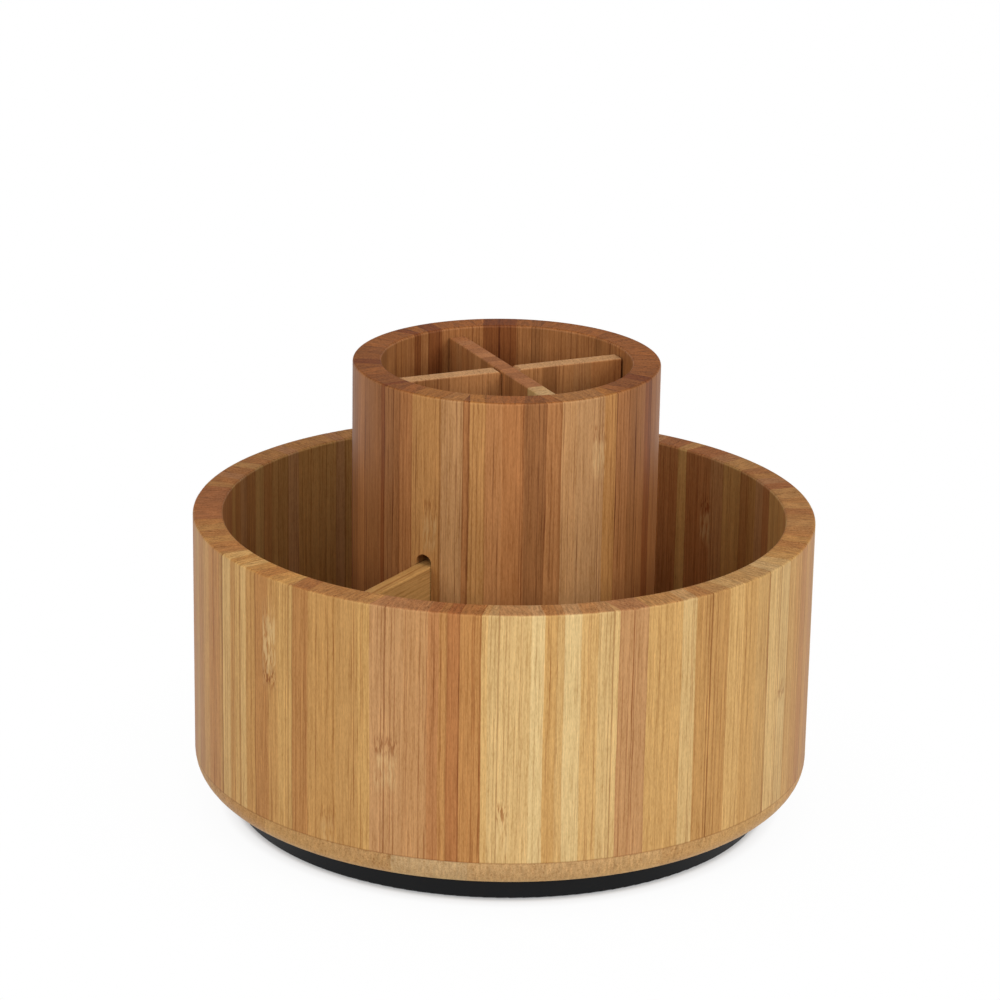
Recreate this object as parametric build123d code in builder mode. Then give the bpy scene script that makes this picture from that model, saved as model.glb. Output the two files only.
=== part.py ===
"""Rotating makeup organizer.

A round bamboo drum of glued staves with a tall core in the middle turns on a low
black base. The ring round the core is split in two by fixed boards that reach through
slots in the core wall. A loose cross of two half-lapped boards splits the core in four.
Millimetres, +Z up, origin on the resting surface under the centre of the drum.
"""
import os
from math import asin, cos, radians, sin, sqrt

from build123d import *

os.makedirs("parts", exist_ok=True)

# Drum wall, a turned ring of upright bamboo staves
drum_radius = 100.0
drum_wall = 9.5
drum_wall_height = 80.0
drum_stave_count = 18

# Core, a taller and narrower ring of staves
core_radius = 49.0
core_wall = 9.0
core_height = 130.0
core_stave_count = 12

# The rims are eased by sanding
rim_round = 0.8

# Floor board under both rings, with a rounded lower edge
floor_thickness = 8.0
floor_edge_setback = 4.5

# Two boards split the ring, and their inner ends stand in slots of the core wall
divider_thickness = 5.2
divider_height = 75.0
divider_angles = {"front": -90.0, "back": 90.0}
divider_side_gap = 0.2
divider_end_inset = 0.6
slot_headroom = 3.5
board_round = 0.5

# Loose cross insert of two half-lapped boards
cross_thickness = 5.5
cross_height = 127.0
cross_angle = 55.0
cross_end_gap = 0.8
lap_side_gap = 0.3
lap_height_gap = 0.5
lap_mouth_ease = 1.0

# Black moulded base, with an upstanding rim and ribs
base_radius = 87.0
base_floor = 3.5
base_rim = 2.5
base_round = 0.7
base_running_gap = 0.7
rib_count = 12
rib_thickness = 1.6
rib_drop = 1.5
seat_lip_width = 1.6
seat_lip_height = 2.0
seat_gap = 0.3

# Rubber feet in shallow recesses of the base
foot_count = 4
foot_radius = 6.0
foot_circle_radius = 75.0
foot_proud = 0.5
foot_recess = 1.2
foot_round = 0.4

# Ball bearing between two flat aluminium rings
ball_radius = 1.75
ball_count = 24
ball_circle_radius = 50.0
ball_gap = 0.05
bearing_split = 1.4
bearing_ring_height = 5.4
bearing_ring_offset = 0.6
outer_ring_width = 11.0
inner_ring_width = 11.0
bearing_ring_round = 0.3
cage_thickness = 0.8
cage_web = 0.5
cage_window_gap = 0.1

# Countersunk screws that hold the bearing rings
screw_radius = 1.5
screw_head_radius = 2.9
screw_gap = 0.05
screw_point = 1.5
driver_slot_width = 0.9
driver_slot_depth = 0.9
base_screw_length = 8.0
base_screw_count = 4
floor_screw_length = 10.0
floor_screw_count = 4
access_hole_radius = 4.5

# Levels, from the resting surface up
base_bottom = foot_proud
base_floor_top = base_bottom + base_floor
inner_ring_bottom = base_floor_top + bearing_ring_offset
inner_ring_top = inner_ring_bottom + bearing_ring_height
ball_level = (base_floor_top + inner_ring_top) / 2
floor_bottom = inner_ring_top
floor_top = floor_bottom + floor_thickness
base_top = floor_bottom - base_running_gap
divider_top = floor_top + divider_height

# Radii and widths that follow from the sizes above
drum_inner_radius = drum_radius - drum_wall
core_inner_radius = core_radius - core_wall
slot_width = divider_thickness + 2 * divider_side_gap
slot_top = divider_top + slot_headroom
outer_ring_inner = ball_circle_radius + bearing_split / 2
outer_ring_outer = outer_ring_inner + outer_ring_width
inner_ring_outer = ball_circle_radius - bearing_split / 2
inner_ring_inner = inner_ring_outer - inner_ring_width
groove_radius = ball_radius + ball_gap
base_screw_circle = outer_ring_inner + outer_ring_width / 2
floor_screw_circle = inner_ring_inner + inner_ring_width / 2
head_height = screw_head_radius - screw_radius
seat_lip_inner = outer_ring_outer + seat_gap
seat_lip_outer = seat_lip_inner + seat_lip_width
rim_inner_radius = base_radius - base_rim


def radial_plane(angle):
    """Upright plane through the turning axis, with x pointing outward and y pointing up."""
    turn = radians(angle)
    return Plane(origin=(0, 0, 0), x_dir=(cos(turn), sin(turn), 0), z_dir=(sin(turn), -cos(turn), 0))


def save(piece, name):
    """Label a finished piece and write it under its own name."""
    piece.label = name
    export_step(piece, f"parts/{name}.step")


def facing_down(level):
    """Plane at a level whose normal points down, for holes that start on an underside."""
    return Plane(origin=(0, 0, level), x_dir=(1, 0, 0), z_dir=(0, 0, -1))


# Drum staves: a wall section with eased upper corners, turned through one stave's share
drum_stave_arc = 360 / drum_stave_count
for index in range(drum_stave_count):
    start = -90 + (index - 0.5) * drum_stave_arc
    with BuildPart() as drum_stave:
        with BuildSketch(radial_plane(start)):
            with Locations((drum_inner_radius, floor_top)):
                Rectangle(drum_wall, drum_wall_height, align=(Align.MIN, Align.MIN))
            fillet(vertices().group_by(Axis.Y)[-1], rim_round)
        revolve(axis=Axis.Z, revolution_arc=drum_stave_arc)
    save(drum_stave.part, f"drum_stave_{index + 1:02d}")

# Core staves, with an upright slot on each side where the ring dividers enter
core_stave_arc = 360 / core_stave_count
for index in range(core_stave_count):
    start = -90 + (index - 0.5) * core_stave_arc
    with BuildPart() as core_stave:
        with BuildSketch(radial_plane(start)):
            with Locations((core_inner_radius, floor_top)):
                Rectangle(core_wall, core_height, align=(Align.MIN, Align.MIN))
            fillet(vertices().group_by(Axis.Y)[-1], rim_round)
        revolve(axis=Axis.Z, revolution_arc=core_stave_arc)
        with BuildSketch(Plane.XZ):
            with Locations((0, slot_top - slot_width / 2)):
                Circle(slot_width / 2)
            with Locations((0, floor_bottom)):
                Rectangle(slot_width, slot_top - slot_width / 2 - floor_bottom, align=(Align.CENTER, Align.MIN))
        extrude(amount=core_radius, both=True, mode=Mode.SUBTRACT)
    save(core_stave.part, f"core_stave_{index + 1:02d}")

# Floor board: a disc whose lower edge is rounded in to a smaller underside
edge_radius = (floor_thickness**2 + floor_edge_setback**2) / (2 * floor_edge_setback)
edge_half_turn = asin(floor_thickness / edge_radius) / 2
edge_middle_radius = drum_radius - edge_radius * (1 - cos(edge_half_turn))
edge_middle_level = floor_top - edge_radius * sin(edge_half_turn)
floor_rim = (drum_radius, floor_top)
floor_middle = (edge_middle_radius, edge_middle_level)
floor_underside = (drum_radius - floor_edge_setback, floor_bottom)
with BuildPart() as floor_board:
    with BuildSketch(Plane.XZ):
        with BuildLine():
            ThreePointArc(floor_rim, floor_middle, floor_underside)
            Polyline(floor_underside, (0, floor_bottom), (0, floor_top), floor_rim)
        make_face()
    revolve(axis=Axis.Z)
    with BuildSketch(Plane.XY.offset(floor_bottom)):
        with PolarLocations(floor_screw_circle, floor_screw_count):
            Circle(screw_radius + screw_gap)
    extrude(amount=floor_screw_length - bearing_ring_height + screw_gap, mode=Mode.SUBTRACT)
save(floor_board.part, "floor_board")

# Ring dividers, from the drum wall into the slots of the core
divider_inner_end = core_inner_radius + divider_end_inset
divider_outer_end = sqrt(drum_inner_radius**2 - (divider_thickness / 2) ** 2)
for side, angle in divider_angles.items():
    along = radial_plane(angle).x_dir
    with BuildPart() as ring_divider:
        with BuildSketch(radial_plane(angle)):
            with Locations((divider_inner_end, floor_top)):
                Rectangle(divider_outer_end - divider_inner_end, divider_height, align=(Align.MIN, Align.MIN))
        extrude(amount=divider_thickness / 2, both=True)
        top_edges = edges().group_by(Axis.Z)[-1].filter_by(Axis((0, 0, 0), along))
        fillet(top_edges, board_round)
    save(ring_divider.part, f"ring_divider_{side}")

# Cross insert: the lower board is slotted from above, the upper board from below
cross_half_length = sqrt((core_inner_radius - cross_end_gap) ** 2 - (cross_thickness / 2) ** 2)
lap_width = cross_thickness + 2 * lap_side_gap
lap_depth = cross_height / 2 + lap_height_gap / 2
cross_boards = {
    "cross_board_lower": (cross_angle, floor_top + cross_height - lap_depth, -1),
    "cross_board_upper": (cross_angle + 90, floor_top, 0),
}
for name, (angle, lap_bottom, mouth_end) in cross_boards.items():
    along = radial_plane(angle).x_dir
    with BuildPart() as cross_board:
        with BuildSketch(radial_plane(angle)):
            with Locations((0, floor_top)):
                Rectangle(2 * cross_half_length, cross_height, align=(Align.CENTER, Align.MIN))
            with Locations((0, lap_bottom)):
                Rectangle(lap_width, lap_depth, align=(Align.CENTER, Align.MIN), mode=Mode.SUBTRACT)
            lap_mouth = vertices().group_by(Axis.Y)[mouth_end].sort_by(Axis.X)[1:3]
            chamfer(lap_mouth, lap_mouth_ease)
        extrude(amount=cross_thickness / 2, both=True)
        top_edges = edges().group_by(Axis.Z)[-1].filter_by(Axis((0, 0, 0), along))
        fillet(top_edges, board_round)
    save(cross_board.part, name)

# Base: a shallow tray with ribs, a lip round the bearing, recesses and screw holes
with BuildPart() as turntable_base:
    with BuildSketch(Plane.XZ):
        with BuildLine():
            Polyline(
                (0, base_bottom),
                (base_radius, base_bottom),
                (base_radius, base_top),
                (rim_inner_radius, base_top),
                (rim_inner_radius, base_floor_top),
                (0, base_floor_top),
                close=True,
            )
        make_face()
        fillet(vertices().group_by(Axis.X)[-1], base_round)
    revolve(axis=Axis.Z)
    with BuildSketch(Plane.XY.offset(base_floor_top)):
        Circle(seat_lip_outer)
        Circle(seat_lip_inner, mode=Mode.SUBTRACT)
    extrude(amount=seat_lip_height)
    rib_inner = seat_lip_outer - seat_lip_width / 2
    rib_outer = rim_inner_radius + base_rim / 2
    with BuildSketch(Plane.XY.offset(base_floor_top)):
        with PolarLocations((rib_inner + rib_outer) / 2, rib_count, start_angle=180 / rib_count):
            Rectangle(rib_outer - rib_inner, rib_thickness)
    extrude(amount=base_top - rib_drop - base_floor_top)
    with BuildSketch(Plane.XY.offset(base_bottom)):
        with PolarLocations(foot_circle_radius, foot_count, start_angle=180 / foot_count):
            Circle(foot_radius)
    extrude(amount=foot_recess, mode=Mode.SUBTRACT)
    with BuildSketch(Plane.XY.offset(base_bottom)):
        with Locations((floor_screw_circle, 0)):
            Circle(access_hole_radius)
    extrude(amount=base_floor, mode=Mode.SUBTRACT)
    with Locations(facing_down(base_bottom)):
        with PolarLocations(base_screw_circle, base_screw_count, start_angle=180 / base_screw_count):
            CounterSinkHole(screw_radius + screw_gap, screw_head_radius + screw_gap, base_floor, 90)
save(turntable_base.part, "turntable_base")

# Rubber feet, pressed flat into their recesses
for index in range(foot_count):
    place = radial_plane((index + 0.5) * 360 / foot_count).x_dir * foot_circle_radius
    with BuildPart() as rubber_foot:
        with BuildSketch(Plane(origin=(place.X, place.Y, 0))):
            Circle(foot_radius)
        extrude(amount=foot_proud + foot_recess)
        fillet(edges().group_by(Axis.Z)[0], foot_round)
    save(rubber_foot.part, f"rubber_foot_{index + 1}")

# Bearing ring that stays with the base
with BuildPart() as bearing_outer_ring:
    with BuildSketch(Plane.XZ):
        with Locations((outer_ring_inner, base_floor_top)):
            Rectangle(outer_ring_width, bearing_ring_height, align=(Align.MIN, Align.MIN))
        fillet(vertices(), bearing_ring_round)
        with Locations((ball_circle_radius, ball_level)):
            Circle(groove_radius, mode=Mode.SUBTRACT)
    revolve(axis=Axis.Z)
    with BuildSketch(Plane.XY.offset(base_floor_top)):
        with PolarLocations(base_screw_circle, base_screw_count, start_angle=180 / base_screw_count):
            Circle(screw_radius + screw_gap)
    extrude(amount=bearing_ring_height, mode=Mode.SUBTRACT)
save(bearing_outer_ring.part, "bearing_outer_ring")

# Bearing ring that turns with the drum
with BuildPart() as bearing_inner_ring:
    with BuildSketch(Plane.XZ):
        with Locations((inner_ring_inner, inner_ring_bottom)):
            Rectangle(inner_ring_width, bearing_ring_height, align=(Align.MIN, Align.MIN))
        fillet(vertices(), bearing_ring_round)
        with Locations((ball_circle_radius, ball_level)):
            Circle(groove_radius, mode=Mode.SUBTRACT)
    revolve(axis=Axis.Z)
    with Locations(facing_down(inner_ring_bottom)):
        with PolarLocations(floor_screw_circle, floor_screw_count):
            CounterSinkHole(screw_radius + screw_gap, screw_head_radius + screw_gap, bearing_ring_height, 90)
save(bearing_inner_ring.part, "bearing_inner_ring")

# Steel balls, one group, and the thin cage that spaces them
with BuildPart() as bearing_balls:
    with Locations((0, 0, ball_level)):
        with PolarLocations(ball_circle_radius, ball_count):
            Sphere(ball_radius)
save(bearing_balls.part, "bearing_balls")

window_radius = ball_radius + cage_window_gap
cage_height = 2 * (window_radius + cage_web)
with BuildPart() as ball_cage:
    with BuildSketch(Plane.XY.offset(ball_level - cage_height / 2)):
        Circle(ball_circle_radius + cage_thickness / 2)
        Circle(ball_circle_radius - cage_thickness / 2, mode=Mode.SUBTRACT)
    extrude(amount=cage_height)
    with Locations((0, 0, ball_level)):
        with PolarLocations(ball_circle_radius, ball_count):
            Cylinder(window_radius, 2 * cage_thickness, rotation=(0, 90, 0), mode=Mode.SUBTRACT)
save(ball_cage.part, "ball_cage")


def countersunk_screw(length):
    """Screw with its flat head down at level zero, its shank up and a slot for the driver."""
    with BuildPart() as screw:
        with BuildSketch(Plane.XZ):
            with BuildLine():
                Polyline(
                    (0, 0),
                    (screw_head_radius, 0),
                    (screw_radius, head_height),
                    (screw_radius, length - screw_point),
                    (0, length),
                    close=True,
                )
            make_face()
        revolve(axis=Axis.Z)
        with BuildSketch(Plane.XY):
            Rectangle(2 * screw_head_radius, driver_slot_width)
            Rectangle(driver_slot_width, 2 * screw_head_radius)
            Circle(screw_radius, mode=Mode.INTERSECT)
        extrude(amount=driver_slot_depth, mode=Mode.SUBTRACT)
    return screw.part


# Screws up through the base into the outer ring, and up through the inner ring into the floor board
base_screw = countersunk_screw(base_screw_length)
with BuildPart() as base_screws:
    with Locations((0, 0, base_bottom)):
        with PolarLocations(base_screw_circle, base_screw_count, start_angle=180 / base_screw_count):
            add(base_screw)
save(base_screws.part, "base_screws")

floor_screw = countersunk_screw(floor_screw_length)
with BuildPart() as floor_screws:
    with Locations((0, 0, inner_ring_bottom)):
        with PolarLocations(floor_screw_circle, floor_screw_count):
            add(floor_screw)
save(floor_screws.part, "floor_screws")

cross_top = floor_top + cross_height
print(f"drum {2 * drum_radius:.1f} across, rim at {floor_top + drum_wall_height:.1f}")
print(f"core top at {floor_top + core_height:.1f}, cross top at {cross_top:.1f}, divider top at {divider_top:.1f}")
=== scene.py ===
"""Finishes, studio and camera of the rotating makeup organizer.

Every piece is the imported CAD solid, dressed in the finish that the real one has. The scene is
in metres, in the frame of the part: +Z up, origin on the table under the middle of the drum.
Names that end in _mm hold millimetres. An azimuth of 0 degrees points along -Y, where the front
ring divider stands, and grows to the right as seen from outside.
"""

import logging
import math
import random
from collections.abc import Callable
from dataclasses import dataclass
from enum import Enum
from functools import partial

import bpy
from mathutils import Matrix, Vector


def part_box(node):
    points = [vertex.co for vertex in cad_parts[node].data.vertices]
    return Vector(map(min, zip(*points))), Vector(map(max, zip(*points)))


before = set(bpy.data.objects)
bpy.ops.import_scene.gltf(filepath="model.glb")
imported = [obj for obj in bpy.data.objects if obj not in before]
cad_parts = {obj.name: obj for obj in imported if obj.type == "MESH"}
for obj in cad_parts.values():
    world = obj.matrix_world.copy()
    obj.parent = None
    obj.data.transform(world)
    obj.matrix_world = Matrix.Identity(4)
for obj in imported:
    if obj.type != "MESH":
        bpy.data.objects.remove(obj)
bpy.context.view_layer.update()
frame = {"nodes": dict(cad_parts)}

log = logging.getLogger("organizer")

MM = 0.001
UP = Vector((0.0, 0.0, 1.0))

# Most of a noise lies in this range.
NOISE_REACH = {"From Min": 0.3, "From Max": 0.7}

Wire = bpy.types.NodeSocket
Tree = bpy.types.NodeTree
Piece = bpy.types.Object
Colour = tuple[float, float, float, float]
Inputs = dict[int | str, object]

# This is add_node, bound to one tree.
Add = Callable[..., Wire]

# A Mix node's sockets for colours share their names with others, so they go by number.
MIX_FIRST, MIX_SECOND, MIX_RESULT = 6, 7, 2


class Tone(Enum):
    """Tones that bamboo strips are sorted by, from raw pale ones to long-steamed brown ones."""

    CREAM = "#CFB27D"
    STRAW = "#CBA870"
    GOLD = "#C7A066"
    HONEY = "#C1975C"
    WHEAT = "#BA8C52"
    AMBER = "#B3804A"
    ROSE = "#B7895A"
    RUSSET = "#AC7647"
    CARAMEL = "#A56E40"
    TOFFEE = "#956238"
    CHESTNUT = "#824C27"


PALE_TONES = (Tone.CREAM, Tone.STRAW, Tone.GOLD)
Cuts = tuple[tuple[float, Tone], ...]


class CutEnd(Enum):
    """How the cut ends of a piece's fibres take their colour."""

    TINTED = "MULTIPLY"
    # Mixes the cut ends to a colour given with the piece; the cross's lower board uses it for a painted
    # highlight on its top edges.
    PAINTED_LIGHT_COLOUR = "MIX"


def linear(hex_colour: str) -> Colour:
    """Turns an sRGB hex colour into the linear colour that Blender's sockets hold.

    Args:
        hex_colour: The colour as "#RRGGBB".

    Returns:
        Red, green, blue and an alpha of 1, each from 0 to 1.
    """
    channels = [int(hex_colour[i:i + 2], 16) / 255 for i in (1, 3, 5)]
    red, green, blue = (c / 12.92 if c <= 0.04045 else ((c + 0.055) / 1.055) ** 2.4 for c in channels)
    return red, green, blue, 1.0


def fill_inputs(tree: Tree, node: bpy.types.Node, inputs: Inputs) -> None:
    """Sets or links a node's inputs.

    Args:
        tree: The tree that the node stands in.
        node: The node.
        inputs: A value or the wire to link, by the name or number of the socket.
    """
    for name, value in inputs.items():
        socket = node.inputs[name]
        if isinstance(value, Wire):
            tree.links.new(value, socket)
        else:
            socket.default_value = value


def add_node(tree: Tree, kind: str, inputs: Inputs, output: int | str = 0,
             **settings: object) -> Wire | None:
    """Adds one shader node with its settings and links.

    Args:
        tree: The node tree to add to.
        kind: The node's type, without its ShaderNode prefix.
        inputs: A value or the wire to link, by the name or number of the socket.
        output: The name or number of the output that is wanted.
        settings: The node's own properties.

    Returns:
        The wanted output, ready to be linked, or nothing where the node has no output.
    """
    node = tree.nodes.new("ShaderNode" + kind)
    for name, value in settings.items():
        setattr(node, name, value)
    fill_inputs(tree, node, inputs)
    return node.outputs[output] if len(node.outputs) else None


def fill_ramp(wire: Wire, stops: list[tuple[float, Colour]], interpolation: str) -> None:
    """Gives a colour ramp its stops.

    Args:
        wire: An output of the ramp's node.
        stops: Position and colour of each stop, from left to right.
        interpolation: How the ramp goes from stop to stop.
    """
    ramp = wire.node.color_ramp
    ramp.interpolation = interpolation
    ramp.elements.remove(ramp.elements[-1])
    ramp.elements[0].position, ramp.elements[0].color = stops[0]
    for position, colour in stops[1:]:
        ramp.elements.new(position).color = colour


def mottle(add: Add, place: Wire, size_mm: tuple[float, float, float], detail: float = 1.0,
           output: str = "Fac") -> Wire:
    """Adds a noise whose spots have a real size.

    Args:
        add: Adds a node to the tree.
        place: Where on the piece, in millimetres.
        size_mm: Size of one spot along each axis.
        detail: How many finer layers the noise has.
        output: "Fac" for a grey noise, "Color" for three of them.

    Returns:
        The noise, which lies around 0.5 and mostly within NOISE_REACH.
    """
    scaled = add("VectorMath", {0: place, 1: [1 / size for size in size_mm]}, operation="MULTIPLY")
    return add("TexNoise", {"Vector": scaled, "Scale": 1.0, "Detail": detail}, output)


def push(add: Add, place: Wire, size_mm: tuple[float, float, float],
         reach: Wire | tuple[float, float, float]) -> Wire:
    """Moves places to and fro with a noise.

    Args:
        add: Adds a node to the tree.
        place: Where on the piece, in millimetres.
        size_mm: Size of one push along each axis.
        reach: How far it goes, along each axis or along all.

    Returns:
        The place that each place is moved to.
    """
    way = mottle(add, place, size_mm, 2.0, "Color")
    way = add("VectorMath", {0: way, 1: (0.5, 0.5, 0.5)}, operation="SUBTRACT")
    way = add("VectorMath", {0: way, 1: reach}, operation="MULTIPLY")
    return add("VectorMath", {0: place, 1: way}, operation="ADD")


def apart(add: Add, value: Wire, other: float) -> Wire:
    """How far a value lies from another."""
    gap = add("Math", {0: value, 1: other}, operation="SUBTRACT")
    return add("Math", {0: gap}, operation="ABSOLUTE")


@dataclass(frozen=True)
class Finish:
    """A surface finish that builds one material."""

    name: str

    def build(self) -> bpy.types.Material:
        """Makes the material and fills its shader as the finish says.

        Returns:
            The material.
        """
        material = bpy.data.materials.new(self.name)
        material.use_nodes = True
        tree = material.node_tree
        inputs = self.shade(partial(add_node, tree))
        fill_inputs(tree, tree.nodes["Principled BSDF"], inputs)
        return material

    def shade(self, add: Add) -> Inputs:
        """Draws the finish and returns what goes into its shader, by socket."""
        raise NotImplementedError

    def place_mm(self, add: Add) -> Wire:
        """Where on the piece, in millimetres."""
        place = add("TexCoord", {}, "Object")
        return add("VectorMath", {0: place, "Scale": 1 / MM}, operation="SCALE")


@dataclass(frozen=True)
class Speckle:
    """A noise that makes the bamboo uneven: size of its spots, finer layers and share in the whole."""

    size_mm: tuple[float, float, float]
    detail: float
    share: float


STREAKS = Speckle((2.6, 0.9, 36.0), 3.0, 0.52)
FINE_LINES = Speckle((0.42, 0.42, 8.0), 1.0, 0.46)
GRIT = Speckle((0.35, 0.35, 1.4), 1.0, 0.38)
CLOUD = Speckle((25.0, 14.0, 40.0), 2.0, 0.14)


@dataclass(frozen=True)
class Spots:
    """Spots of the cane: a noise that starts to show at one height and is full at another."""

    size_mm: tuple[float, float, float]
    detail: float
    start: float
    full: float
    strength: float = 1.0
    weakest: float = 0.0
    edge: str = "SMOOTHSTEP"

    def draw(self, add: Add, place: Wire, zone: Wire | float = 1.0) -> Wire:
        """Draws the spots.

        Args:
            add: Adds a node to the tree.
            place: Where on the piece, in its fibres' axes.
            zone: How much of the spots shows there, from 0 to 1.

        Returns:
            How strong the spots are, from 0 to 1.
        """
        spots = mottle(add, place, self.size_mm, self.detail)
        spots = add(
            "MapRange", {"Value": spots, "From Min": self.start, "From Max": self.full,
                         "To Min": self.weakest, "To Max": self.strength},
            interpolation_type=self.edge)
        return add("Math", {0: spots, 1: zone}, operation="MULTIPLY")


FLECKS = Spots((0.6, 0.4, 3.5), 1.0, 0.64, 0.76, 0.25)
BROWN_DASHES = Spots((0.8, 0.5, 3.4), 1.0, 0.48, 0.60)
PALE_FIBRES = Spots((1.2, 0.8, 6.0), 2.0, 0.40, 0.58, 0.55, edge="LINEAR")
BUNDLE_BREAKS = Spots((1.1, 0.8, 18.0), 2.0, 0.36, 0.64, weakest=0.2, edge="LINEAR")


@dataclass(frozen=True)
class Strip:
    """One strip of a laminated piece.

    Its fibre bundles lie densest at the side that was the outside of the cane.
    """

    start_mm: float
    colour: Colour
    density: tuple[float, float]


@dataclass(frozen=True)
class Knuckle:
    """The ring of a cane where a leaf grew: fibres swirl, with brown dashes over a pale patch."""

    across_mm: float
    along_mm: float
    half_width_mm: float = 2.8
    strength: float = 1.0
    fade_mm: float = 0.7
    swirl_mm: float = 0.7
    dash_reach_mm: float = 4.5
    patch_drop_mm: float = 7.5
    patch_reach_mm: float = 9.0


@dataclass(frozen=True)
class LaminatedBamboo(Finish):
    """Edge-grain bamboo: steamed strips pressed and glued side by side, sanded, satin lacquer.

    The eye gets parallel strips, each with a shade of its own, and fine dark fibre bundles that
    run along them as lines and show as dots where they are cut across. Fibres and strips run a
    little wavy, as the cane grew. The bundles are about 0.5 mm apart on the real strips and are
    drawn wider apart, because the render shows no less.
    """

    axes: Matrix
    strips: tuple[Strip, ...]
    reach_mm: tuple[float, float]
    knuckles: tuple[Knuckle, ...] = ()
    joint_half_angle: float = 0.0
    seam_mm: float | None = None
    cut_end: CutEnd = CutEnd.TINTED
    end_tint_and_painted_light: str = "#D6BC9C"
    end_contrast: float = 1.0
    fibre_tint: str = "#B58552"
    fibre_strength: float = 0.75
    bundle_mm: float = 0.75
    bundle_flatness: float = 0.6
    lacquer_roughness: float = 0.42
    lacquer_ior: float = 1.48
    lacquer_sheen: float = 0.15
    wander_mm: float = 0.9
    wave_mm: float = 0.9

    def shade(self, add: Add) -> Inputs:
        """Draws strips, fibres, knuckles, joints and cut ends, and the lacquer over them.

        Args:
            add: Adds a node to the tree.

        Returns:
            The shader's inputs, by socket.
        """
        turn = self.axes.to_euler("XYZ")
        object_place = add("TexCoord", {}, "Object")
        place = add("Mapping", {"Vector": object_place, "Rotation": turn, "Scale": (1 / MM,) * 3})
        facing = add(
            "Mapping", {"Vector": object_place.node.outputs["Normal"], "Rotation": turn},
            vector_type="VECTOR")
        cut_across = self._cut_across(add, facing)
        place = push(add, place, (9.0, 9.0, 34.0), (self.wave_mm, self.wave_mm, 0.0))
        dashes, patch = self._knuckle_zones(add, place)
        fibre_place = self._swirled(add, place, dashes, patch)
        tone, density = self._strip_tones(add, place)
        tone = add(
            "Mix", {0: cut_across, MIX_FIRST: tone, MIX_SECOND: linear(self.end_tint_and_painted_light)}, MIX_RESULT,
            data_type="RGBA", blend_type=self.cut_end.value)
        bundles = self._bundles(add, fibre_place, density)

        patterns = {}
        speckles = (STREAKS, FINE_LINES, GRIT, CLOUD)
        uneven = 1.0 - 0.5 * sum(speckle.share for speckle in speckles)
        for speckle in speckles:
            where = place if speckle is CLOUD else fibre_place
            pattern = mottle(add, where, speckle.size_mm, speckle.detail)
            patterns[speckle] = pattern
            uneven = add("Math", {0: pattern, 1: speckle.share, 2: uneven}, operation="MULTIPLY_ADD")
        steeped = add("MapRange", {"Value": uneven, "From Min": 1.0, "From Max": 0.6})
        rows = mottle(add, place, (4.5, 0.8, 400.0))
        rows = add(
            "Math", {0: rows, 1: self.end_contrast, 2: -0.5 * self.end_contrast}, operation="MULTIPLY_ADD")
        rows = add("Math", {0: rows, 1: cut_across, 2: 1.0}, operation="MULTIPLY_ADD")
        uneven = add("Math", {0: uneven, 1: rows}, operation="MULTIPLY")
        colour = add("VectorMath", {0: tone, "Scale": uneven}, operation="SCALE")
        joint = self._joint_lines(add, place, object_place)

        layers = (
            (steeped, "MULTIPLY", linear("#FFEAC8")),
            (bundles, "MULTIPLY", linear(self.fibre_tint)),
            (FLECKS.draw(add, fibre_place), "MULTIPLY", linear("#C09768")),
            (PALE_FIBRES.draw(add, fibre_place, patch), "MIX", linear("#E4C68E")),
            (BROWN_DASHES.draw(add, fibre_place, dashes), "MULTIPLY", linear("#B5814F")),
            (joint, "MULTIPLY", linear("#A87C50")),
        )
        for factor, blend_type, layer in layers:
            colour = add(
                "Mix", {0: factor, MIX_FIRST: colour, MIX_SECOND: layer}, MIX_RESULT,
                data_type="RGBA", blend_type=blend_type)
        rough = self.lacquer_roughness
        for pattern, dulls in ((bundles, 0.10), (patterns[CLOUD], 0.12), (cut_across, 0.25)):
            rough = add("Math", {0: pattern, 1: dulls, 2: rough}, operation="MULTIPLY_ADD")
        height = 0.0
        for pattern, lifts in ((patterns[FINE_LINES], 0.5), (bundles, -0.8), (joint, -1.2)):
            height = add("Math", {0: pattern, 1: lifts, 2: height}, operation="MULTIPLY_ADD")
        relief = add("Bump", {"Height": height, "Strength": 0.5, "Distance": 0.03 * MM}, "Normal")
        return {"Base Color": colour, "Roughness": rough, "IOR": self.lacquer_ior,
                "Specular IOR Level": self.lacquer_sheen, "Normal": relief}

    def _cut_across(self, add: Add, facing: Wire) -> Wire:
        """Tells cut ends from the faces along the fibres.

        Args:
            add: Adds a node to the tree.
            facing: Where the face looks, in the grain's axes.

        Returns:
            1 where a face cuts the fibres across, and 0 where it runs along them.
        """
        along = add("SeparateXYZ", {0: facing}, "Z")
        along = add("Math", {0: along}, operation="ABSOLUTE")
        return add(
            "MapRange", {"Value": along, "From Min": 0.45, "From Max": 0.95},
            interpolation_type="SMOOTHSTEP")

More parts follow.
